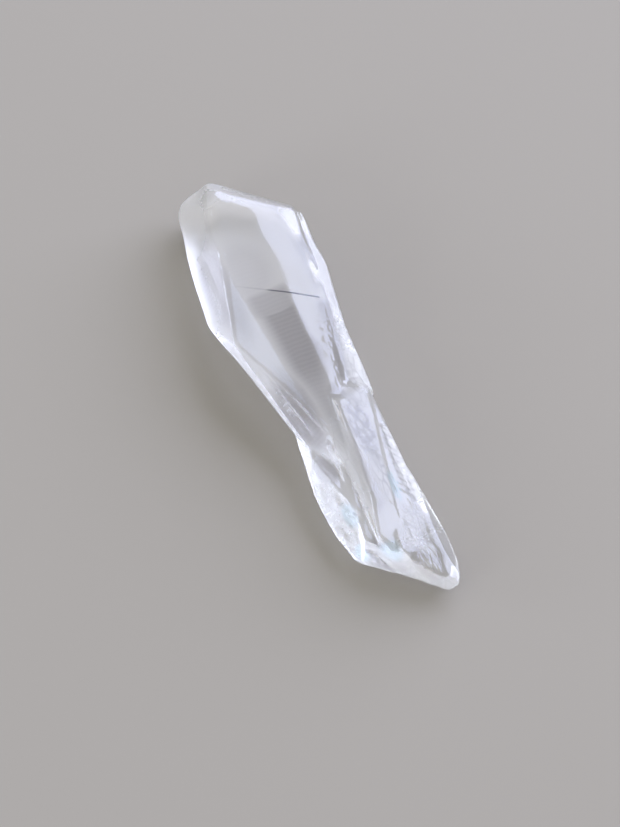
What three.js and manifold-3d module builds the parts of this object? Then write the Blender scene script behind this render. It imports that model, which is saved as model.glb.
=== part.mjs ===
// A clear quartz crystal, lying on its side: several blades grown together side by side, with a
// broad flattened head and a broken foot. Millimetres, +Z up, +X from the foot to the head.
import * as THREE from 'three';
import { mergeVertices } from 'three/addons/utils/BufferGeometryUtils.js';
import Module from 'manifold-3d';

const wasm = await Module();
wasm.setup();

// ---------- driving dimensions ----------

// The blades are laid out by points of their faces, along a length of about 40 mm. LENGTH scales
// the whole crystal, so that its real size is set in one place.
const LAID_OUT_LENGTH = 40;
const LENGTH = 40;

// Larger than the whole crystal, so that one side of the block is an endless half-space.
const BLOCK = 120;

// Growth grooves between the thin steps below the broad top face, on its left.
const STEP_GROOVE_WIDTH = 0.6;
const STEP_GROOVE_DEPTH = 0.3;

// Scale-like growth ledges across the low outer blade.
const SCALE_COUNT = 11;
const SCALE_WIDTH = 0.42;
const SCALE_DEPTH = 0.16;

// Ribs that fan out over the broken face of the foot.
const HACKLE_COUNT = 6;
const HACKLE_WIDTH = 0.4;
const HACKLE_DEPTH = 0.2;

// Shallow steps across the prism faces at the sides.
const SIDE_STEP_COUNT = 7;
const SIDE_STEP_WIDTH = 0.5;
const SIDE_STEP_DEPTH = 0.07;

// ---------- joining and cutting ----------

// A closed three.js geometry as a solid.
function solidOf(geometry) {
  const bare = geometry.clone();
  bare.deleteAttribute('normal');
  bare.deleteAttribute('uv');
  const merged = mergeVertices(bare);
  const corners = merged.attributes.position;
  const order = merged.index ? merged.index.array : [...Array(corners.count).keys()];
  return new wasm.Manifold(new wasm.Mesh({
    numProp: 3,
    vertProperties: new Float32Array(corners.array),
    triVerts: new Uint32Array(order),
  }));
}

// A solid as a three.js geometry.
function geometryOf(solid) {
  const mesh = solid.getMesh();
  const geometry = new THREE.BufferGeometry();
  geometry.setAttribute('position', new THREE.BufferAttribute(mesh.vertProperties, 3));
  geometry.setIndex(new THREE.BufferAttribute(mesh.triVerts, 1));
  return geometry;
}

// All that lies behind the flat face through three points, on the side of the point inside.
function behindFace([first, second, third], inside) {
  const plane = new THREE.Plane().setFromCoplanarPoints(
    new THREE.Vector3(...first),
    new THREE.Vector3(...second),
    new THREE.Vector3(...third),
  );
  const outward = plane.normal.clone();
  if (plane.distanceToPoint(new THREE.Vector3(...inside)) > 0) outward.negate();
  const block = new THREE.BoxGeometry(BLOCK, BLOCK, BLOCK);
  block.translate(0, 0, -BLOCK / 2);
  const turn = new THREE.Quaternion().setFromUnitVectors(new THREE.Vector3(0, 0, 1), outward);
  block.applyQuaternion(turn);
  block.translate(...first);
  return solidOf(block);
}

// A convex blade: what lies behind every one of its flat faces.
function blade({ inside, faces }) {
  return Object.values(faces)
    .map((points) => behindFace(points, inside))
    .reduce((solid, next) => solid.intersect(next));
}

// A sliver pointed at both ends, centred on the line between two points of a face. Its depth is
// measured along the face's outward direction. Cut away, it leaves a groove with flat sides.
function sliver({ from, to, outward, width, depth }) {
  const start = new THREE.Vector3(...from);
  const end = new THREE.Vector3(...to);
  const along = end.clone().sub(start).normalize();
  const across = new THREE.Vector3(...outward).cross(along).normalize();
  const up = along.clone().cross(across);
  const shape = new THREE.OctahedronGeometry(1);
  shape.scale(start.distanceTo(end) / 2, width / 2, depth);
  shape.applyMatrix4(new THREE.Matrix4().makeBasis(along, across, up));
  shape.translate(...start.lerp(end, 0.5));
  return solidOf(shape);
}

// A ball, for a shell-shaped hollow where a flake broke away.
function ball({ centre, radius }) {
  const shape = new THREE.SphereGeometry(radius, 40, 24);
  shape.translate(...centre);
  return solidOf(shape);
}

// The point at a fraction of the way between two points.
function between(start, end, fraction) {
  return new THREE.Vector3(...start).lerp(new THREE.Vector3(...end), fraction).toArray();
}

// ---------- the blades ----------

// The face it rests on, and the broken face across the foot with the undercut below it.
const FLOOR_FACE = [[0, 0, 0], [1, 0, 0], [0, 1, 0]];
const FRACTURE_FACE = [[-17.5, 2.45, 0.8], [-21.5, -1.7, 0.8], [-18.6, 0.3, 3.2]];
const UNDERCUT_FACE = [[-17.5, 2.4, 0.8], [-21.4, -1.8, 0.8], [-18.4, -0.1, 0]];

// The broad blade: all of the head, its flattened top running down to a point at the waist.
const mainBlade = {
  inside: [4, 0, 3],
  faces: {
    topMiddle: [[14, -2, 6.7], [14, 2, 6.7], [-9, 0, 4.6]],
    topRight: [[12.5, -1.0, 6.56], [-3, -0.4, 5.15], [9, -3.5, 5.95]],
    topLeft: [[4.9, 2.6, 5.87], [-2.3, 2.05, 5.21], [1.4, 4.26, 5.25]],
    leftUpper: [[12.8, 1.96, 6.6], [4.06, 4.01, 5.8], [8, 4.98, 3.0]],
    leftLower: [[15.9, 4.05, 3.0], [5.6, 5.2, 3.0], [8, 3.6, 0]],
    waistUpper: [[0.87, 3.95, 5.5], [-9, 0.69, 4.6], [-5.4, 3.13, 3.67]],
    waistSide: [[0.5, 4.55, 4.5], [-5.8, 3.25, 3.6], [-2.5, 3.75, 2]],
    waistLower: [[4, 4.94, 3.0], [-5.6, 3.2, 2.6], [-1, 2.9, 0]],
    rightUpper: [[5.87, -3.85, 5.61], [-5.27, -0.45, 4.93], [1.5, -3.52, 4.4]],
    rightSide: [[10.8, -4.7, 3.4], [2.6, -4.1, 3.4], [7, -3.95, 5.2]],
    rightLower: [[10.8, -4.7, 3.4], [2.6, -4.1, 3.4], [7, -3.4, 0]],
    tipBevel: [[14.4, 1.0, 6.7], [10.6, -3.25, 6.39], [15.5, 0.5, 6.0]],
    tipFar: [[15.5, 0.5, 6.0], [11.7, -3.79, 5.8], [16.2, -0.2, 3]],
    tipFront: [[16.5, 1.9, 5.0], [16.5, 0.5, 5.0], [17.6, 1.2, 3.0]],
    tipNear: [[17.2, 2.95, 3.0], [17.8, 2.2, 3.0], [15.9, 2.2, 5.6]],
    tipCorner: [[15.7, 4.1, 3.2], [17.2, 2.95, 3.0], [15.0, 3.1, 5.6]],
    tipEnd: [[17.802, 0, 3.0], [17.802, 4, 3.0], [17.802, 0, 0]],
    tipUnder: [[17.6, 1.8, 3.0], [13, -4.8, 3.0], [16.3, 1, 0]],
    lowerEnd: [[-12, 0, 3.9], [-12, 2, 3.9], [-16, 0, 0]],
    under: FLOOR_FACE,
  },
};

// A slender blade along the right of the head, lower than the broad top face.
const rightBlade = {
  inside: [2, -3.8, 2.5],
  faces: {
    topHead: [[5.87, -3.85, 5.48], [9, -4.2, 5.5], [5.87, -4.5, 5.41]],
    top: [[3.66, -3.28, 5.37], [-2.91, -2.26, 4.04], [1.0, -3.94, 4.49]],
    left: [[8.2, -4.0, 5.2], [-3.6, -1.95, 4.5], [2, -2.6, 2]],
    sideHead: [[6, -4.68, 5.5], [11, -4.57, 5.5], [6, -4.75, 3.0]],
    side: [[1.0, -3.94, 4.49], [5.1, -4.52, 5.45], [3, -4.26, 3.0]],
    lower: [[11.2, -4.9, 3.0], [0.45, -4.0, 3.0], [6, -3.8, 0]],
    headEnd: [[11.9, -5.2, 3], [11.7, -4.2, 3], [11.2, -4.6, 5.0]],
    headUnder: [[11.9, -5.2, 3], [11.7, -4.2, 3], [10.6, -4.6, 0]],
    baseEnd: [[-3.9, -3.5, 4.2], [-3.6, -2, 4.6], [-6.5, -3, 3]],
    under: FLOOR_FACE,
  },
};

// A short shoulder below the slender blade, standing out to the right of the waist.
const shoulderBlade = {
  inside: [-1, -3.2, 2.5],
  faces: {
    top: [[3.66, -3.28, 5.34], [-2.91, -2.26, 4.01], [1.0, -3.94, 4.46]],
    left: [[3, -2.9, 3], [-4, -2.2, 3], [-1, -2.4, 0]],
    side: [[1.0, -4.04, 3.0], [-3.6, -3.84, 3.0], [-1, -3.85, 4.0]],
    lower: [[1.0, -4.04, 3.0], [-3.6, -3.84, 3.0], [-1, -3.3, 0]],
    headEnd: [[2.9, -3.9, 4.5], [1.2, -4.1, 3.0], [3.2, -2.9, 4.0]],
    baseEnd: [[-4.9, -3.7, 3.0], [-4.2, -2.2, 3.0], [-3.7, -3, 4.2]],
    under: FLOOR_FACE,
  },
};

// The blade whose ridge carries on from the waist to the foot.
const ridgeBlade = {
  inside: [-10, -0.5, 2],
  faces: {
    ridgeLeft: [[-7.6, -0.1, 5.4], [-14.3, 0.65, 5.1], [-10.2, 0.64, 4.6]],
    ridgeRight: [[-7.6, -0.1, 5.4], [-14.3, 0.5, 5.0], [-8, -2.4, 4.4]],
    ridgeEnd: [[-14.4, 0.6, 5.0], [-14.9, -1.0, 4.3], [-18.2, 1.2, 3.7]],
    right: [[-5.8, -3.0, 4.2], [-11.6, -1.6, 4.2], [-8, -2.9, 3]],
    headEnd: [[-5.3, -0.7, 5.0], [-4.1, -3.2, 3.8], [-1.8, -1.6, 3.4]],
    left: [[-6, 0.6, 3], [-14, 1.3, 3], [-10, 1.3, 0]],
    lowerRight: [[-4, -3.1, 3], [-15, -2.6, 3], [-10, -2.4, 0]],
    fracture: FRACTURE_FACE,
    fractureUnder: UNDERCUT_FACE,
    under: FLOOR_FACE,
  },
};

// The low blade along the right edge, from the waist to the foot.
const outerBlade = {
  inside: [-12, -2.6, 1.8],
  faces: {
    top: [[-6, -3.1, 3.9], [-12, -1.8, 3.9], [-11, -3.3, 3.0]],
    topEnd: [[-14, -1.4, 3.9], [-14.6, -3.2, 2.9], [-18.4, -1.4, 2.9]],
    side: [[-5, -3.4, 3.0], [-15.4, -3.25, 2.8], [-10, -3.45, 1.5]],
    lower: [[-5, -3.4, 1.5], [-15.4, -3.4, 1.5], [-10, -2.4, 0]],
    baseEnd: [[-18.6, -1.6, 3], [-18.0, -3.4, 3], [-17.6, -2.4, 0]],
    headEnd: [[-4.9, -3.4, 3], [-4.9, -2.4, 3], [-5.4, -3.0, 1]],
    left: [[-6, -2.4, 3], [-12, -1.1, 3], [-9, -1.75, 0]],
    fracture: FRACTURE_FACE,
    fractureUnder: UNDERCUT_FACE,
    under: FLOOR_FACE,
  },
};

// The steep blade that stands out at the left of the foot.
const leftBlade = {
  inside: [-12.5, 2.4, 2],
  faces: {
    top: [[-7.95, 2.8, 3.1], [-11.3, 1.54, 3.34], [-11.6, 3.55, 4.0]],
    left: [[-7.95, 2.8, 3.1], [-11.6, 3.55, 4.0], [-11, 4.05, 2.5]],
    lowerLeft: [[-11.6, 3.55, 4.0], [-13.7, 2.1, 4.0], [-13.9, 3.95, 2.2]],
    baseLeft: [[-13.7, 2.1, 4.0], [-17.2, 2.5, 3.4], [-15.3, 3.75, 2.0]],
    baseEnd: [[-16.1, 3.5, 1.5], [-17.7, 2.8, 1.5], [-16.6, 2.7, 3.5]],
    lower: [[-8, 3.5, 2.2], [-13, 4.0, 2.0], [-10, 3.1, 0]],
    lowerEnd: [[-12, 3.95, 2.0], [-16.1, 3.45, 1.6], [-14, 3.1, 0]],
    right: [[-13.7, 1.8, 4.2], [-17.6, 2.3, 3.6], [-15, 1.0, 2]],
    fracture: FRACTURE_FACE,
    fractureUnder: UNDERCUT_FACE,
    under: FLOOR_FACE,
  },
};

// The thin broken foot.
const foot = {
  inside: [-17, 0, 1.5],
  faces: {
    topLeft: [[-12, 1.2, 3.5], [-17.6, 2.3, 3.4], [-19, 0.6, 3.1]],
    topRight: [[-15.4, -1.9, 3.7], [-20, -2.2, 2.5], [-18.2, -0.17, 3.3]],
    rightHead: [[-13, -3.3, 2], [-17.5, -3.95, 1.5], [-15, -3.1, 0]],
    right: [[-17.5, -3.95, 1.5], [-20.1, -3.75, 1.5], [-19, -3.4, 0]],
    corner: [[-20.15, -3.7, 1.5], [-22.2, -2.3, 1.2], [-20.5, -2.6, 0]],
    rightUpper: [[-15.4, -2.6, 3.4], [-20.1, -3.0, 2.3], [-17.5, -3.95, 1.5]],
    fracture: FRACTURE_FACE,
    fractureUnder: UNDERCUT_FACE,
    headEnd: [[-10, 0, 3], [-10, 2, 3], [-10, 0, 0]],
    left: [[-12, 1.6, 4.6], [-17.6, 2.45, 3.6], [-15, 2.5, 0]],
    under: FLOOR_FACE,
  },
};

const BLADES = [mainBlade, rightBlade, shoulderBlade, ridgeBlade, outerBlade, leftBlade, foot];

// ---------- grooves, ledges and hollows ----------

// Outward directions of the faces that the cuts lie on.
const WAIST_OUTWARD = [-0.29, 0.68, 0.68];
const OUTER_TOP_OUTWARD = [-0.12, -0.57, 0.81];
const FRACTURE_OUTWARD = [-0.7, 0.67, 0.26];

// Long grooves between the growth steps left of the broad top face.
function stepGrooves() {
  const starts = [[-0.2, 3.75, 5.27], [-0.3, 3.95, 5.02], [-1.0, 3.95, 4.73]];
  const ends = [[-9.9, 1.0, 4.05], [-10.2, 1.75, 3.2], [-9.6, 2.3, 2.95]];
  return starts.map((from, index) => sliver({
    from,
    to: ends[index],
    outward: WAIST_OUTWARD,
    width: STEP_GROOVE_WIDTH,
    depth: STEP_GROOVE_DEPTH,
  }));
}

// Ledges like fish scales across the outer blade's top face.
function scaleLedges() {
  const innerHead = [-8.0, -2.55, 3.98];
  const innerBase = [-13.6, -1.55, 3.83];
  const outerHead = [-8.9, -3.4, 3.25];
  const outerBase = [-14.6, -3.3, 2.45];
  return Array.from({ length: SCALE_COUNT }, (_, index) => {
    const fraction = index / (SCALE_COUNT - 1);
    return sliver({
      from: between(innerHead, innerBase, fraction),
      to: between(outerHead, outerBase, fraction),
      outward: OUTER_TOP_OUTWARD,
      width: SCALE_WIDTH,
      depth: SCALE_DEPTH,
    });
  });
}

// Ribs fanning out from the top left of the fracture to its lower edge.
function hackles() {
  const hub = [-17.15, 2.0, 3.0];
  const firstEnd = [-17.9, 2.1, 0.5];
  const lastEnd = [-20.3, -0.5, 1.6];
  return Array.from({ length: HACKLE_COUNT }, (_, index) => sliver({
    from: hub,
    to: between(firstEnd, lastEnd, index / (HACKLE_COUNT - 1)),
    outward: FRACTURE_OUTWARD,
    width: HACKLE_WIDTH,
    depth: HACKLE_DEPTH,
  }));
}

// Shallow steps across the head's left and right sides, square to the blade's length.
const LEFT_SIDE = {
  headTop: [13.5, 4.14, 2.6],
  headBottom: [13.5, 3.25, 0.6],
  baseTop: [6, 4.98, 2.6],
  baseBottom: [6, 4.09, 0.6],
  outward: [0.1, 0.91, -0.4],
};
const RIGHT_SIDE = {
  headTop: [10, -4.71, 2.6],
  headBottom: [10, -4.27, 0.6],
  baseTop: [1.5, -4.0, 2.6],
  baseBottom: [1.5, -3.56, 0.6],
  outward: [-0.1, -0.95, -0.22],
};

function sideSteps({ headTop, headBottom, baseTop, baseBottom, outward }) {
  return Array.from({ length: SIDE_STEP_COUNT }, (_, index) => {
    const fraction = (index / (SIDE_STEP_COUNT - 1)) ** 1.3;
    return sliver({
      from: between(headTop, baseTop, fraction),
      to: between(headBottom, baseBottom, fraction),
      outward,
      width: SIDE_STEP_WIDTH,
      depth: SIDE_STEP_DEPTH,
    });
  });
}

// Shell-shaped hollows: under the fracture, and at the left blade's lower corner.
const HOLLOWS = [
  { centre: [-21.4, 2.7, -0.6], radius: 3.55 },
  { centre: [-17.6, 4.6, 1.2], radius: 1.75 },
];

// Small chips: the notch in the foot's edge, and the ragged end of the left blade's ridge.
const CHIPS = [
  { from: [-19.5, -0.1, 0.9], to: [-20.9, -0.6, 0.9], outward: [-0.5, 0.5, -0.7], width: 0.9, depth: 0.5 },
  { from: [-11.1, 3.9, 4.0], to: [-12.5, 3.1, 4.1], outward: [0, 0.3, 0.95], width: 0.5, depth: 0.35 },
  { from: [-12.2, 3.7, 3.8], to: [-13.3, 2.6, 3.95], outward: [0, 0.3, 0.95], width: 0.6, depth: 0.4 },
  { from: [-13.4, 3.5, 3.1], to: [-16.6, 2.9, 2.9], outward: [-0.2, 0.8, 0.6], width: 0.6, depth: 0.3 },
];

const cuts = [
  ...stepGrooves(),
  ...scaleLedges(),
  ...hackles(),
  ...sideSteps(LEFT_SIDE),
  ...sideSteps(RIGHT_SIDE),
  ...HOLLOWS.map(ball),
  ...CHIPS.map(sliver),
];

// ---------- the crystal ----------

const grown = BLADES.map(blade).reduce((solid, next) => solid.add(next));
const crystal = cuts.reduce((solid, cut) => solid.subtract(cut), grown);

// The origin is under the middle of the crystal's box, at its real size.
function centred(geometry) {
  geometry.scale(LENGTH / LAID_OUT_LENGTH, LENGTH / LAID_OUT_LENGTH, LENGTH / LAID_OUT_LENGTH);
  geometry.computeBoundingBox();
  const { min, max } = geometry.boundingBox;
  geometry.translate(-(min.x + max.x) / 2, -(min.y + max.y) / 2, -min.z);
  return geometry;
}

const quartz = new THREE.MeshStandardMaterial({ color: 0xe6e9f0, roughness: 0.08, metalness: 0 });
const quartzCrystal = new THREE.Mesh(centred(geometryOf(crystal)), quartz);
quartzCrystal.name = 'quartz_crystal';

const part = new THREE.Group();
part.add(quartzCrystal);

export default part;
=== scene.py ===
import math

import bmesh
import bpy
import numpy as np
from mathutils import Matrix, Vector, noise


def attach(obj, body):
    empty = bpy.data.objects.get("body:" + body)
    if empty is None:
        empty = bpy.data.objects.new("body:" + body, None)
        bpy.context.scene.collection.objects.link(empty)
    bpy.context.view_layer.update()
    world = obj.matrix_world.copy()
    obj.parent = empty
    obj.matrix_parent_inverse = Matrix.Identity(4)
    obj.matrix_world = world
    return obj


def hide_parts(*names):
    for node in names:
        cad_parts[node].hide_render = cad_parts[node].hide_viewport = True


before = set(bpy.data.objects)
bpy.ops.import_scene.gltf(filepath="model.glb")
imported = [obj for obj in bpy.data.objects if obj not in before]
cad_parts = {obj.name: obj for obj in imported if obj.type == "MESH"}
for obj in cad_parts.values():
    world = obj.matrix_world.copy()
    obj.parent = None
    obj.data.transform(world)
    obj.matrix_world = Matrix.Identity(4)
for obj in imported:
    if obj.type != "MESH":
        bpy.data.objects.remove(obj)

MM = 0.001
UP = Vector((0, 0, 1))
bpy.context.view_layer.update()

# ---------- camera: the photograph's viewing angle ----------

# The point on the floor that the camera looks at, and the level direction from it to the camera.
TARGET = Vector((-0.93, 0.45, 0.0)) * MM
TOWARDS_CAMERA = Vector((-0.914, 0.406, 0.0)).normalized()
FORWARD = -TOWARDS_CAMERA
RIGHT = FORWARD.cross(UP)
CAMERA_ELEVATION = 58
CAMERA_DISTANCE = 214.5 * MM
SENSOR_MM = 36.0
PHOTO_HEIGHT_PIXELS = 827
FOCAL_LENGTH_PIXELS = 2800
LENS_MM = SENSOR_MM * FOCAL_LENGTH_PIXELS / PHOTO_HEIGHT_PIXELS

# ---------- light and floor: in metres and degrees ----------

# Each light as (name, degrees to the right of straight behind the crystal, elevation, width,
# height, radiance, colour). They all face the crystal from the same distance.
LIGHT_DISTANCE = 0.6
LIGHTS = (
    ("window", 44, 33, 0.84, 0.62, 6.6, (0.66, 0.72, 1.0)),
    ("left_window", -40, 72, 0.14, 0.14, 3.5, (0.62, 0.72, 1.0)),
    ("side_window", -131, 22, 0.2, 0.2, 8.0, (0.78, 0.85, 1.0)),
    ("low_window", -86, 12, 0.32, 0.18, 6.5, (0.75, 0.82, 1.0)),
)
STUDIO_COLOUR = (0.92, 0.91, 0.89, 1)
STUDIO_STRENGTH = 0.95
FLOOR_COLOUR = (0.245, 0.226, 0.190, 1)
FLOOR_HALF_SIZE = 4.0
FLOOR_GAP = 0.04 * MM
LIGHT_BOUNCES = 24
GLOSSY_BOUNCES = 12

# ---------- quartz ----------

IOR = 1.544
TRANSMISSION = 0.88
CLEAR_COLOUR = (1.0, 0.985, 0.94, 1)
# Painted shade, with the tint of dark seams and a brown spot, mixed into the base colour.
SHADE_AND_TINT_COLOUR = (0.42, 0.40, 0.39, 1)
# Painted reflection: the pale blue of the bluish window light mirrored in the fracture, and a thin
# crack's blue sheen.
BLUE_REFLECTION_COLOUR = (0.80, 0.96, 1.0, 1)
CRACK_COLOUR = (0.06, 0.06, 0.08, 1)
ABSORPTION_COLOUR = (0.86, 0.90, 0.96, 1)
ABSORPTION_DENSITY = 10.0
POLISHED_ROUGHNESS = 0.10
FROSTED_ROUGHNESS = 0.55

# The period of the fine growth lines in mm, and the scale at which a wave texture has a period of 1.
STRIATION_PERIOD = 0.37
WAVE_SCALE = 0.314

# What places are scaled by for the splinters and streaks, to draw them out along the crystal.
STREAK_SCALE = (0.28, 1.0, 1.0)

# ---------- shape: all in millimetres, in the frame of the CAD model ----------

# The step of the fine mesh, and how often its points are smoothed, all over and again at the tip.
VOXEL = 0.11
SMOOTHING_STEPS = 120
TIP_SMOOTHING_STEPS = 300

# Patches of the surface, each as (centre, reach along X, Y and Z).
STRIP = ((1.5, -3.5, 4.3), (5.0, 1.0, 1.6))
SHOULDER = ((-1.2, -3.4, 3.9), (2.8, 1.3, 1.4))
RIDGE_LEFT = ((-8.2, 0.3, 4.6), (5.2, 0.9, 1.6))
RIDGE_HEAD = ((-3.6, -2.0, 4.6), (1.8, 1.8, 1.0))
RIDGE_STEP = ((-2.8, -0.8, 5.0), (1.3, 1.3, 0.8))
RIDGE_TOP = ((-10.8, -1.2, 4.6), (3.4, 1.3, 1.2))
OUTER_TOP = ((-9.5, -3.2, 3.2), (5.5, 1.2, 1.4))
LEFT_BLADE = ((-11.5, 3.0, 2.4), (4.4, 1.8, 2.4))
LEFT_BLADE_HEAD = ((-7.8, 2.2, 3.3), (2.2, 1.2, 1.2))
HEAD_LEFT = ((11.5, 4.6, 3.2), (9.0, 1.6, 3.0))
HEAD_EDGE = ((9.0, 3.4, 4.8), (7.0, 1.7, 2.8))
FRACTURE = ((-15.6, 1.2, 2.2), (2.2, 1.8, 2.2))
FOOT_END = ((-17.5, -1.2, 2.2), (2.6, 2.6, 2.2))
SOFT_CREASE = ((16.0, 2.3, 5.3), (4.4, 1.7, 2.0))
TIP_END = ((18.2, 0.2, 4.2), (2.4, 3.4, 3.4))
MILKY_TIP = ((17.2, 3.4, 3.8), (5.5, 2.8, 4.4))
# The next three patches are darkened with painted shade.
SHADED_HEAD = ((9.2, 1.4, 6.0), (3.6, 2.8, 1.2))
SHADED_WAIST = ((-3.0, 2.2, 4.2), (6.0, 1.8, 1.8))
SHADED_RIDGE = ((-6.6, -1.3, 4.9), (4.2, 1.5, 1.0))
SMOKY_FOOT = ((-14.9, -1.8, 3.1), (3.0, 1.9, 1.3))
BROWN_SPOT = ((-7.8, -1.2, 4.9), (1.5, 0.8, 0.8))
# Patches tinted with a painted blue reflection of the window light.
BLUE_REFLECTION_SPOTS = (
    ((-16.0, 0.6, 3.1), (1.5, 1.0, 1.1)),
    ((-12.1, 2.2, 3.3), (1.4, 0.7, 1.0)),
    ((-14.6, 2.3, 1.8), (1.0, 0.8, 0.8)),
    ((-11.4, -1.7, 3.9), (1.8, 0.7, 0.8)),
)

# Lines on the surface, each as (start, end).
FAR_RIM = ((17.6, 0.4, 6.2), (12.9, -4.6, 5.7))
NEAR_RIM = ((17.6, 0.4, 6.2), (19.4, 2.8, 3.2))
CHIPPED_EDGE = ((3.2, -2.6, 5.3), (-2.2, -1.3, 4.8))
LEDGE = ((-6.5, 0.75, 4.1), (-12.0, 1.2, 3.6))
# The next three lines are darkened with painted shade: a dark band beside the rim, a dark line beside a
# bright edge, and a strip of steep face in shade.
RIM_BAND = ((11.6, -4.0, 5.7), (4.2, -4.1, 4.9))
DARK_LENS = ((-1.6, 1.5, 5.1), (-6.6, 1.1, 4.0))
DARK_STRIP = ((4.4, -3.2, 5.2), (-1.2, -2.1, 4.4))
CRACK = ((7.10, 0.23, 5.87), (5.25, -3.04, 5.47))

# Stretches along one axis, each as (where it begins, where it is full).
HEAD_X = (3.0, 12.0)
TIP_X = (13.5, 17.0)
TIP_UNDER_X = (12.0, 15.0)
FAR_END_X = (17.8, 19.2)
UNEVEN_HEAD_X = (0.0, 8.0)
WAIST_AND_FOOT_X = (3.0, 1.0)
FOOT_X = (-12.0, -15.0)
BEYOND_FOOT_X = (-16.0, -11.0)
# The right side of the head, darkened with painted shade over its bright edge.
DIM_RIGHT_X = (2.0, 5.0)
DIM_RIGHT_Y = (-3.3, -4.0)
RIGHT_EDGE_Y = (-3.4, -4.2)
UNDERSIDE_Z = (1.6, 0.8)
TIP_UNDER_Z = (3.2, 2.0)
ABOVE_FLOOR_Z = (0.1, 1.0)

# The sides of the wedge of painted shade in the head, each as (places along X, the Y of the side there).
WEDGE_RIGHT = ((-7, -3, 2, 8), (0.2, -0.2, -1.1, -1.2))
WEDGE_LEFT = ((-7, -3, 0, 5, 5.5, 8), (0.9, 1.3, 1.9, 2.2, 2.7, 2.9))

# Its right side fades over this much, and over so much more towards the waist.
WEDGE_FADE = 0.3
WEDGE_MORE_FADE = 1.1
WEDGE_SOFT_X = (2.8, 0.8)

# Where it lies on the top faces, where it pales towards the waist and where it ends in the head.
WEDGE_TOP_Z = (4.4, 4.7)
WEDGE_PALE_X = (0.5, -3.5)
WEDGE_END_X = (7.6, 6.8)

# The arc across the wedge: the X and Y of its middle, and how strongly it bends.
ARC_X = 5.15
ARC_Y = 0.6
ARC_BEND = 0.12

# How the tip is drawn out: which way, how far, and where, along that way and along Y.
STRETCH_WAY = (0.75, -0.66, 0.0)
STRETCH = 0.38
STRETCH_ALONG = (10.5, 12.8)
STRETCH_Y = (4.5, -0.5)

# The way the splinters of the fracture run, and the way that face looks.
SPLINTER_RUN = (-0.72, -0.55, -0.42)
SPLINTER_FACING = (-0.69, 0.67, 0.28)

# How far apart two noise patterns are read.
SEED_SPACING = 17.3


def look_back(item, centre, level, elevation, distance):
    """An item put at a distance from a centre, along a level direction raised by the elevation in
    degrees, and turned to look back."""
    raised = math.radians(elevation)
    away = level * math.cos(raised) + UP * math.sin(raised)
    item.location = centre + away * distance
    item.rotation_euler = (-away).to_track_quat("-Z", "Y").to_euler()


def make_camera():
    data = bpy.data.cameras.new("camera")
    data.sensor_width = SENSOR_MM
    data.lens = LENS_MM
    data.clip_start = 0.001
    data.clip_end = 20
    camera = bpy.data.objects.new("camera", data)
    bpy.context.collection.objects.link(camera)
    look_back(camera, TARGET, TOWARDS_CAMERA, CAMERA_ELEVATION, CAMERA_DISTANCE)
    bpy.context.scene.camera = camera


# ---------- fields: a value at each point of the crystal ----------


def ramp(value, start, end):
    """0 at start and before, 1 at end and after, with a smooth way between."""
    way = np.clip((value - start) / (end - start), 0, 1)
    return way * way * (3 - 2 * way)


def patch(points, place):
    """1 inside a patch, falling smoothly to 0 at its reach."""
    centre, reach = place
    distance = np.linalg.norm((points - centre) / reach, axis=1)
    return ramp(distance, 1.0, 0.45)


def strongest(points, patches):
    """The strongest at each point of some patches, each given as (patch, weight)."""
    return np.maximum.reduce([weight * patch(points, place) for place, weight in patches])


def beside(points, line, reach):
    """1 on a line, falling smoothly to 0 at that distance from it in mm."""
    start, end = np.array(line[0]), np.array(line[1])
    along = end - start
    fraction = np.clip((points - start) @ along / (along @ along), 0, 1)
    nearest = start + fraction[:, None] * along
    return ramp(np.linalg.norm(points - nearest, axis=1), reach, 0)


def noise_places(points, size, stretch, seed):
    """Where a noise pattern is read, so that its grains have that size in mm."""
    scaled = points / (np.array(stretch) * size) + SEED_SPACING * seed
    return [Vector(place) for place in scaled.tolist()]


def grain(points, size, stretch=(1, 1, 1), seed=0):
    """Smooth noise from -1 to 1."""
    return np.array([noise.noise(place) for place in noise_places(points, size, stretch, seed)])


def chips(points, size, stretch=(1, 1, 1), seed=0):
    """Chips with sharp seams: the distance to the nearest of scattered points, from 0 to about 1."""
    return np.array([noise.voronoi(place)[0][0] for place in noise_places(points, size, stretch, seed)])


def seams(points, size, stretch=(1, 1, 1), seed=0):
    """1 along the seams between chips, 0 within them."""
    return ramp(chips(points, size, stretch, seed), 0.4, 0.62)


def splinters(points):
    """The points in axes that run along, across and out of the splinters of the fracture."""
    along = np.array(SPLINTER_RUN) / np.linalg.norm(SPLINTER_RUN)
    across = np.cross(SPLINTER_FACING, along)
    across /= np.linalg.norm(across)
    return points @ np.array((along, across, np.cross(along, across))).T


# ---------- shape of the crystal ----------


def smoothed(points, edges, weight, steps):
    """The points drawn step by step towards the middle of their neighbours, as far as the weight says."""
    first, second = edges.T
    count = len(points)
    degree = np.bincount(first, minlength=count) + np.bincount(second, minlength=count)
    for _ in range(steps):
        total = np.empty_like(points)
        for axis in range(3):
            values = points[:, axis]
            from_second = np.bincount(first, values[second], count)
            from_first = np.bincount(second, values[first], count)
            total[:, axis] = from_second + from_first
        points = points + 0.5 * weight[:, None] * (total / degree[:, None] - points)
    return points


def softness(points):
    """How much the edges are rounded at each point, from 0 to 1: much on the head, little on the foot."""
    x, y, z = points.T
    head = 0.35 * ramp(x, *HEAD_X) + 0.4 * ramp(x, *TIP_X)
    head *= 1 - 0.8 * np.maximum(beside(points, FAR_RIM, 2.0), ramp(y, *RIGHT_EDGE_Y))
    ridge = strongest(points, ((RIDGE_HEAD, 0.9), (RIDGE_LEFT, 0.35)))
    under = 0.3 * ramp(z, *UNDERSIDE_Z) * ramp(x, *WAIST_AND_FOOT_X)
    return 0.05 + head + ridge + under + 0.12 * patch(points, FOOT_END)


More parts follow.
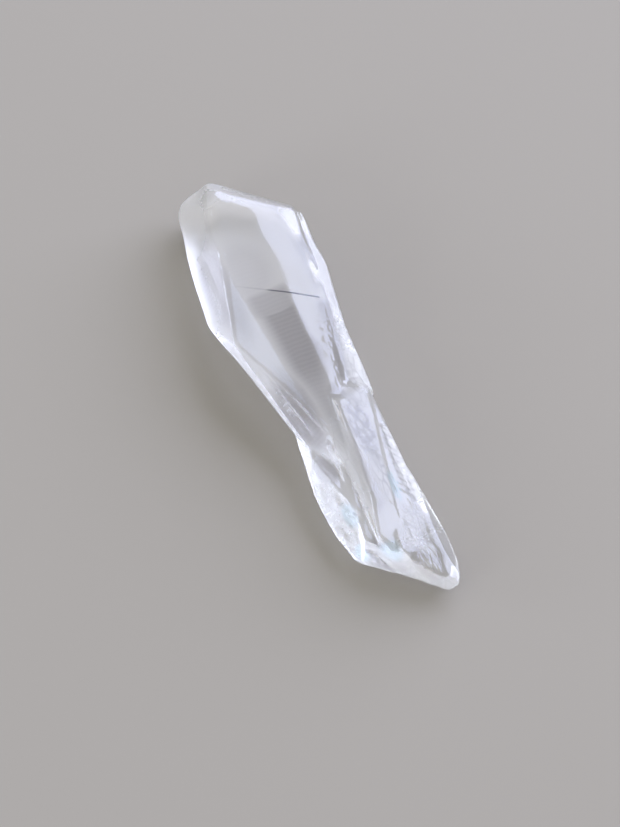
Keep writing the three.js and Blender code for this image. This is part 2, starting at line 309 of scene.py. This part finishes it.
def tip_softness(points):
    """The same for the tip, worn round on its underside, along the left edge of its top and at
    its far end."""
    x, _, z = points.T
    under = ramp(x, *TIP_UNDER_X) * ramp(z, *TIP_UNDER_Z)
    return np.maximum.reduce([under, patch(points, SOFT_CREASE), 0.5 * ramp(x, *FAR_END_X)])


def stretched(points):
    """The tip drawn out a little on its far side, by what the rounding takes off there."""
    outwards = np.array(STRETCH_WAY)
    amount = STRETCH * ramp(points @ outwards, *STRETCH_ALONG) * ramp(points[:, 1], *STRETCH_Y)
    return points + amount[:, None] * outwards


def relief(points):
    """How far the surface stands out at each point, in mm, past the flat faces."""
    x, _, z = points.T
    frosted = strongest(points, ((STRIP, 1.0), (SHOULDER, 1.0), (RIDGE_TOP, 1.0), (OUTER_TOP, 1.0)))
    ridge = strongest(points, ((RIDGE_TOP, 1.0), (RIDGE_HEAD, 1.0)))
    rough = strongest(points, ((SHOULDER, 1.0), (STRIP, 0.8)))
    left = patch(points, LEFT_BLADE)
    # Each layer as (height in mm, where it is, its shape).
    layers = (
        (0.02, 0.5 + ramp(x, *UNEVEN_HEAD_X), grain(points, 3.2)),
        (0.22, patch(points, HEAD_LEFT), 1.0),
        (0.02, frosted, grain(points, 0.42, (1.4, 0.8, 1.0), seed=2)),
        (0.07, ridge, grain(points, 1.1, (1.5, 0.8, 1.0), seed=7)),
        (0.25, left, chips(points, 0.9, (3.5, 1, 1), seed=3) - 0.5),
        (0.04, left, grain(points, 0.42, (5.0, 1.0, 1.0), seed=4)),
        (0.25, patch(points, FRACTURE), chips(splinters(points), 0.55, (7, 1, 3), seed=8) - 0.5),
        (0.3, beside(points, LEDGE, 1.0), 1.0),
        (0.07, rough, chips(points, 0.45, seed=10) - 0.5),
        (0.14, beside(points, CHIPPED_EDGE, 0.6), chips(points, 0.4, (1.4, 1, 1), seed=6) - 0.6),
        (0.12, patch(points, SMOKY_FOOT), grain(points, 1.2, (2.2, 0.8, 1.0), seed=9)),
        (0.05, ramp(x, *FOOT_X), grain(points, 0.7, (4.0, 1.0, 1.0), seed=5)),
    )
    return ramp(z, *ABOVE_FLOOR_Z) * sum(height * where * shape for height, where, shape in layers)


# ---------- looks of the crystal's surface ----------


def frost(points, normals):
    """How frosted the surface is at each point, from 0 to 1."""
    patches = (
        (STRIP, 0.5),
        (SHOULDER, 1.0),
        (RIDGE_LEFT, 0.8),
        (RIDGE_HEAD, 0.6),
        (RIDGE_TOP, 0.7),
        (OUTER_TOP, 0.7),
        (LEFT_BLADE, 0.5),
        (LEFT_BLADE_HEAD, 0.6),
        (FRACTURE, 0.25),
        (HEAD_LEFT, 0.7),
        (SMOKY_FOOT, 0.45),
        (TIP_END, 0.9),
        (MILKY_TIP, 0.85),
    )
    facing_down = ramp(normals[:, 2], 0.0, -0.3)
    fields = (
        strongest(points, patches),
        0.5 * beside(points, FAR_RIM, 1.0),
        0.9 * beside(points, NEAR_RIM, 1.4),
        facing_down * (0.3 + 0.6 * ramp(points[:, 0], *BEYOND_FOOT_X)),
    )
    return np.maximum.reduce(fields) * (1 - 0.9 * beside(points, DARK_STRIP, 0.9))


def hackles(points):
    """How strongly broken and streaky the surface is at each point, from 0 to 1."""
    patches = (
        (LEFT_BLADE, 0.35),
        (LEFT_BLADE_HEAD, 0.4),
        (FRACTURE, 1.0),
        (OUTER_TOP, 0.9),
        (RIDGE_HEAD, 0.5),
        (RIDGE_TOP, 0.9),
        (RIDGE_LEFT, 0.5),
        (SHADED_RIDGE, 1.0),
        (BROWN_SPOT, 1.0),
        (SHOULDER, 0.7),
        (STRIP, 0.5),
        (SHADED_WAIST, 0.3),
        (SMOKY_FOOT, 0.7),
        (FOOT_END, 0.8),
    )
    return strongest(points, patches)


def shaded_wedge(points):
    """The wedge of painted shade in the head, standing in for the floor in the crystal's shadow seen
    through it, from the waist up to an arc across it, and paler on past the arc.
    """
    x, y, z = points.T
    right = np.interp(x, *WEDGE_RIGHT)
    left = np.interp(x, *WEDGE_LEFT)
    fade = WEDGE_FADE + WEDGE_MORE_FADE * ramp(x, *WEDGE_SOFT_X)
    between = ramp(y, right - fade, right + 0.5) * ramp(y, left + 0.2, left - 1.2)
    arc = ARC_X + ARC_BEND * (y - ARC_Y) ** 2
    below_arc = ramp(x - arc, 0.2, -0.2) * (1 - 0.45 * ramp(x, *WEDGE_PALE_X))
    past_arc = 0.7 * ramp(x, *WEDGE_END_X)
    return between * ramp(z, *WEDGE_TOP_Z) * np.maximum(below_arc, past_arc)


def shade_and_tint(points):
    """How much the stone is darkened at each point, from 0 to 1: mostly painted shade, where the floor in
    the crystal's shadow shows through and over bright edges and faces, with dark seams on the broken
    parts and a brown spot.
    """
    x, y, _ = points.T
    # Patches of painted shade.
    patches = (
        (SHADED_HEAD, 0.3),
        (SHADED_WAIST, 0.95),
        (HEAD_EDGE, 0.7),
        (RIDGE_STEP, 0.7),
        (LEFT_BLADE_HEAD, 0.5),
    )
    # Lines of painted shade, along dark faces and over bright edges, each as (line, strength, reach in
    # mm).
    lines = (
        (DARK_STRIP, 0.9, 1.3),
        (DARK_LENS, 0.7, 0.6),
        (RIM_BAND, 0.8, 0.45),
        (FAR_RIM, 0.5, 2.2),
        (CHIPPED_EDGE, 0.5, 1.0),
    )
    # Each mottled patch as (patch, strength all over, strength added on the seams, the seams): painted
    # shade all over, with the dark seams of the broken surface.
    mottled = (
        (OUTER_TOP, 0.35, 0.4, seams(points, 0.5, (1, 2.2, 1), seed=11)),
        (SHADED_RIDGE, 0.4, 0.5, seams(points, 0.4, (1.8, 1, 1), seed=15)),
        (FRACTURE, 0.1, 0.9, seams(splinters(points), 0.55, (7, 1, 3), seed=8)),
        (FOOT_END, 0.05, 0.5, seams(splinters(points), 0.6, (5, 1, 2), seed=14)),
    )
    brown = 0.5 * patch(points, BROWN_SPOT) * seams(points, 0.35, seed=13)
    # The wedge, the patches, the right side of the head and the ridge hold painted shade; the brown spot
    # darkens along its seams.
    fields = [
        shaded_wedge(points),
        strongest(points, patches),
        0.6 * ramp(y, *DIM_RIGHT_Y) * ramp(x, *DIM_RIGHT_X),
        0.4 * patch(points, SHADED_RIDGE) + brown,
    ]
    fields += [strength * beside(points, line, reach) for line, strength, reach in lines]
    fields += [patch(points, place) * (even + more * seam) for place, even, more, seam in mottled]
    return np.maximum.reduce(fields)


# ---------- the crystal ----------


def read(items, name, width, kind=np.float64):
    """A property of all vertices or edges, as an array with a row for each."""
    values = np.empty(len(items) * width, dtype=kind)
    items.foreach_get(name, values)
    return values.reshape(-1, width)


def fine_mesh():
    """The CAD solid as a fine, even mesh with flat faces, in mm."""
    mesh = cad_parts["quartz_crystal"].data.copy()
    mesh.materials.clear()
    shape = bmesh.new()
    shape.from_mesh(mesh)
    bmesh.ops.scale(shape, vec=(1 / MM, 1 / MM, 1 / MM), verts=shape.verts)
    bmesh.ops.remove_doubles(shape, verts=shape.verts, dist=0.0001)
    shape.to_mesh(mesh)
    shape.free()
    solid = bpy.data.objects.new("solid", mesh)
    copy = bpy.data.objects.new("copy", mesh)
    for item in (solid, copy):
        bpy.context.collection.objects.link(item)
    remesh = copy.modifiers.new("remesh", "REMESH")
    remesh.mode = "VOXEL"
    remesh.voxel_size = VOXEL
    wrap = copy.modifiers.new("wrap", "SHRINKWRAP")
    wrap.target = solid
    wrap.wrap_method = "NEAREST_SURFACEPOINT"
    fine = bpy.data.meshes.new_from_object(copy.evaluated_get(bpy.context.evaluated_depsgraph_get()))
    for item in (solid, copy):
        bpy.data.objects.remove(item)
    bpy.data.meshes.remove(mesh)
    fine.name = "quartz"
    return fine


def make_crystal():
    mesh = fine_mesh()
    points = read(mesh.vertices, "co", 3)
    edges = read(mesh.edges, "vertices", 2, np.int64)
    points = smoothed(points, edges, softness(points), SMOOTHING_STEPS)
    points = smoothed(points, edges, tip_softness(points), TIP_SMOOTHING_STEPS)
    points = stretched(points)
    mesh.vertices.foreach_set("co", points.ravel())
    mesh.update()
    normals = read(mesh.vertices, "normal", 3)
    # The frost and hackles, and the painted shade and painted blue reflection, kept at each point for the
    # material.
    fields = {
        "frost": frost(points, normals),
        "shade_and_tint": shade_and_tint(points),
        "hackles": hackles(points),
        "blue_reflection": strongest(points, [(spot, 1.0) for spot in BLUE_REFLECTION_SPOTS]),
    }
    for name, values in fields.items():
        mesh.attributes.new(name, "FLOAT", "POINT").data.foreach_set("value", values)
    points = points + relief(points)[:, None] * normals
    mesh.vertices.foreach_set("co", (points * MM).ravel())
    mesh.shade_smooth()
    mesh.update()
    crystal = bpy.data.objects.new("quartz", mesh)
    bpy.context.collection.objects.link(crystal)
    return crystal


# ---------- materials ----------


class Nodes:
    """Short ways to add nodes to a material and join them. The value of a socket is given as a
    constant or as another node's output."""

    def __init__(self, material):
        self.nodes = material.node_tree.nodes
        self.links = material.node_tree.links

    def feed(self, socket, value):
        if isinstance(value, bpy.types.NodeSocket):
            self.links.new(value, socket)
        else:
            socket.default_value = value

    def add(self, kind, sockets, **settings):
        """A node with its settings, and the values of its sockets by their names or numbers."""
        node = self.nodes.new(kind)
        for name, value in settings.items():
            setattr(node, name, value)
        for name, value in sockets.items():
            self.feed(node.inputs[name], value)
        return node

    def attribute(self, name):
        return self.add("ShaderNodeAttribute", {}, attribute_name=name).outputs["Fac"]

    def math(self, operation, first, second=0.0, clamp=False):
        node = self.add("ShaderNodeMath", {0: first, 1: second}, operation=operation, use_clamp=clamp)
        return node.outputs[0]

    def vector(self, operation, sockets):
        return self.add("ShaderNodeVectorMath", sockets, operation=operation)

    def dot(self, first, second):
        return self.vector("DOT_PRODUCT", {0: first, 1: second}).outputs["Value"]

    def span(self, value, low, high, start=0.0, end=1.0):
        """A smooth way from start, where the value is low, to end, where it is high."""
        sockets = {"Value": value, "From Min": low, "From Max": high, "To Min": start, "To Max": end}
        return self.add("ShaderNodeMapRange", sockets, interpolation_type="SMOOTHSTEP").outputs["Result"]

    def mix(self, factor, first, second):
        """The first colour where the factor is 0, the second where it is 1."""
        sockets = {"Factor": factor, "A": first, "B": second}
        return self.add("ShaderNodeMix", sockets, data_type="RGBA").outputs["Result"]


def crack_mask(tree, place):
    """1 along a hairline crack across the top face, with a fainter run on to the left."""
    start, end = Vector(CRACK[0]), Vector(CRACK[1])
    length = (end - start).length
    along = (end - start).normalized()
    across = UP.cross(along).normalized()
    run = tree.math("SUBTRACT", tree.dot(place, along), along.dot(start))
    off = tree.math("SUBTRACT", tree.dot(place, across), across.dot(start))
    line = tree.span(tree.math("ABSOLUTE", off), 0.10, 0.02)
    strong = tree.math("MULTIPLY", tree.span(run, -0.4, 0.2), tree.span(run, length + 0.1, length))
    faint = tree.math("MULTIPLY", tree.span(run, -3.6, -0.6, 0.0, 0.25), tree.span(run, 0.1, -0.1))
    strength = tree.math("ADD", strong, faint, clamp=True)
    on_top = tree.span(tree.dot(place, UP), 4.6, 5.0)
    return tree.math("MULTIPLY", tree.math("MULTIPLY", line, strength), on_top)


def new_material(name):
    """A material with nodes, and its surface shader."""
    material = bpy.data.materials.new(name)
    material.use_nodes = True
    return material, material.node_tree.nodes["Principled BSDF"]


def quartz_material():
    material, shader = new_material("quartz")
    tree = Nodes(material)
    shader.inputs["Transmission Weight"].default_value = TRANSMISSION
    shader.inputs["IOR"].default_value = IOR
    frosted = tree.attribute("frost")
    shade_tint = tree.attribute("shade_and_tint")
    hackly = tree.attribute("hackles")
    metres = tree.add("ShaderNodeTexCoord", {}).outputs["Object"]
    place = tree.vector("SCALE", {0: metres, "Scale": 1 / MM}).outputs["Vector"]

    # Fine growth lines square to the crystal's length, and a fine grain.
    wave = {
        "Vector": place,
        "Scale": WAVE_SCALE / STRIATION_PERIOD,
        "Distortion": 5.0,
        "Detail": 3.0,
        "Detail Scale": 0.7,
    }
    striations = tree.add("ShaderNodeTexWave", wave, wave_type="BANDS", bands_direction="X")
    growth = striations.outputs["Fac"]
    fine = tree.add("ShaderNodeTexNoise", {"Vector": place, "Scale": 4.5, "Detail": 3.0}).outputs["Fac"]

    # Broken parts: splinters and streaks that run along the crystal.
    drawn = tree.vector("MULTIPLY", {0: place, 1: STREAK_SCALE}).outputs["Vector"]
    cells = tree.add("ShaderNodeTexVoronoi", {"Vector": drawn, "Scale": 1.7}, feature="DISTANCE_TO_EDGE")
    from_seam = cells.outputs["Distance"]
    streaks = {"Vector": drawn, "Scale": 2.2, "Detail": 5.0, "Roughness": 0.65}
    streak = tree.add("ShaderNodeTexNoise", streaks).outputs["Fac"]
    seam = tree.span(from_seam, 0.0, 0.09, 0.6, 0.0)
    shade = tree.span(streak, 0.50, 0.68, 0.0, 0.45)
    broken = tree.math("MULTIPLY", hackly, tree.math("MAXIMUM", seam, shade))

    # Base colour: nearly clear, darker with painted shade, in the streaks and along the crack, and pale
    # blue with a painted reflection.
    lined = tree.math("MULTIPLY", shade_tint, tree.span(growth, 0.0, 1.0, 0.92, 1.0))
    colour = tree.mix(tree.math("MAXIMUM", lined, broken), CLEAR_COLOUR, SHADE_AND_TINT_COLOUR)
    # Painted reflection: pale blue where the fracture mirrors the bluish window light, and a painted blue
    # sheen on a thin crack inside.
    colour = tree.mix(tree.attribute("blue_reflection"), colour, BLUE_REFLECTION_COLOUR)
    colour = tree.mix(crack_mask(tree, place), colour, CRACK_COLOUR)
    tree.feed(shader.inputs["Base Color"], colour)

    # Roughness: smooth faces, milky frosted ones, with uneven grain.
    uneven = tree.span(fine, 0.3, 0.7, 0.75, 1.15)
    dull = tree.span(frosted, 0.0, 1.0, POLISHED_ROUGHNESS, FROSTED_ROUGHNESS)
    tree.feed(shader.inputs["Roughness"], tree.math("MULTIPLY", dull, uneven))

    # Bumps finer than the mesh: growth lines, frost, and the seams and streaks of broken parts.
    wavy = tree.math("MULTIPLY", growth, tree.math("MULTIPLY", shade_tint, 0.15))
    grainy = tree.math("MULTIPLY", fine, frosted)
    edges = tree.span(from_seam, 0.0, 0.2, 0.0, 2.0)
    streaky = tree.math("MULTIPLY", hackly, tree.math("ADD", edges, tree.math("MULTIPLY", streak, 4.0)))
    height = tree.math("ADD", tree.math("ADD", wavy, grainy), streaky)
    bump = tree.add("ShaderNodeBump", {"Height": height, "Strength": 0.5, "Distance": 0.02 * MM})
    tree.feed(shader.inputs["Normal"], bump.outputs["Normal"])

    inside = {"Color": ABSORPTION_COLOUR, "Density": ABSORPTION_DENSITY}
    absorption = tree.add("ShaderNodeVolumeAbsorption", inside)
    tree.feed(tree.nodes["Material Output"].inputs["Volume"], absorption.outputs["Volume"])
    return material


def floor_material():
    material, shader = new_material("floor")
    shader.inputs["Base Color"].default_value = FLOOR_COLOUR
    shader.inputs["Roughness"].default_value = 0.9
    shader.inputs["Specular IOR Level"].default_value = 0.1
    return material


# ---------- floor and light ----------


def make_floor():
    size = FLOOR_HALF_SIZE
    corners = [(-size, -size), (size, -size), (size, size), (-size, size)]
    shape = bmesh.new()
    shape.faces.new([shape.verts.new((x, y, -FLOOR_GAP)) for x, y in corners])
    mesh = bpy.data.meshes.new("floor")
    shape.to_mesh(mesh)
    shape.free()
    floor = bpy.data.objects.new("floor", mesh)
    bpy.context.collection.objects.link(floor)
    mesh.materials.append(floor_material())


def make_light(name, turn, elevation, width, height, radiance, colour):
    data = bpy.data.lights.new(name, "AREA")
    data.shape = "RECTANGLE"
    data.size = width
    data.size_y = height
    data.color = colour
    data.energy = radiance * math.pi * width * height
    light = bpy.data.objects.new(name, data)
    bpy.context.collection.objects.link(light)
    level = FORWARD * math.cos(math.radians(turn)) + RIGHT * math.sin(math.radians(turn))
    look_back(light, Vector(), level, elevation, LIGHT_DISTANCE)


def make_studio():
    world = bpy.data.worlds.new("studio")
    bpy.context.scene.world = world
    world.use_nodes = True
    background = world.node_tree.nodes["Background"]
    background.inputs["Color"].default_value = STUDIO_COLOUR
    background.inputs["Strength"].default_value = STUDIO_STRENGTH
    for light in LIGHTS:
        make_light(*light)


def set_light_paths():
    scene = bpy.context.scene
    scene.view_settings.view_transform = "Standard"
    scene.cycles.use_denoising = True
    scene.cycles.max_bounces = LIGHT_BOUNCES
    scene.cycles.transmission_bounces = LIGHT_BOUNCES
    scene.cycles.glossy_bounces = GLOSSY_BOUNCES


make_camera()
crystal = make_crystal()
crystal.data.materials.append(quartz_material())
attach(crystal, "root")
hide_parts("quartz_crystal")
make_floor()
make_studio()
set_light_paths()
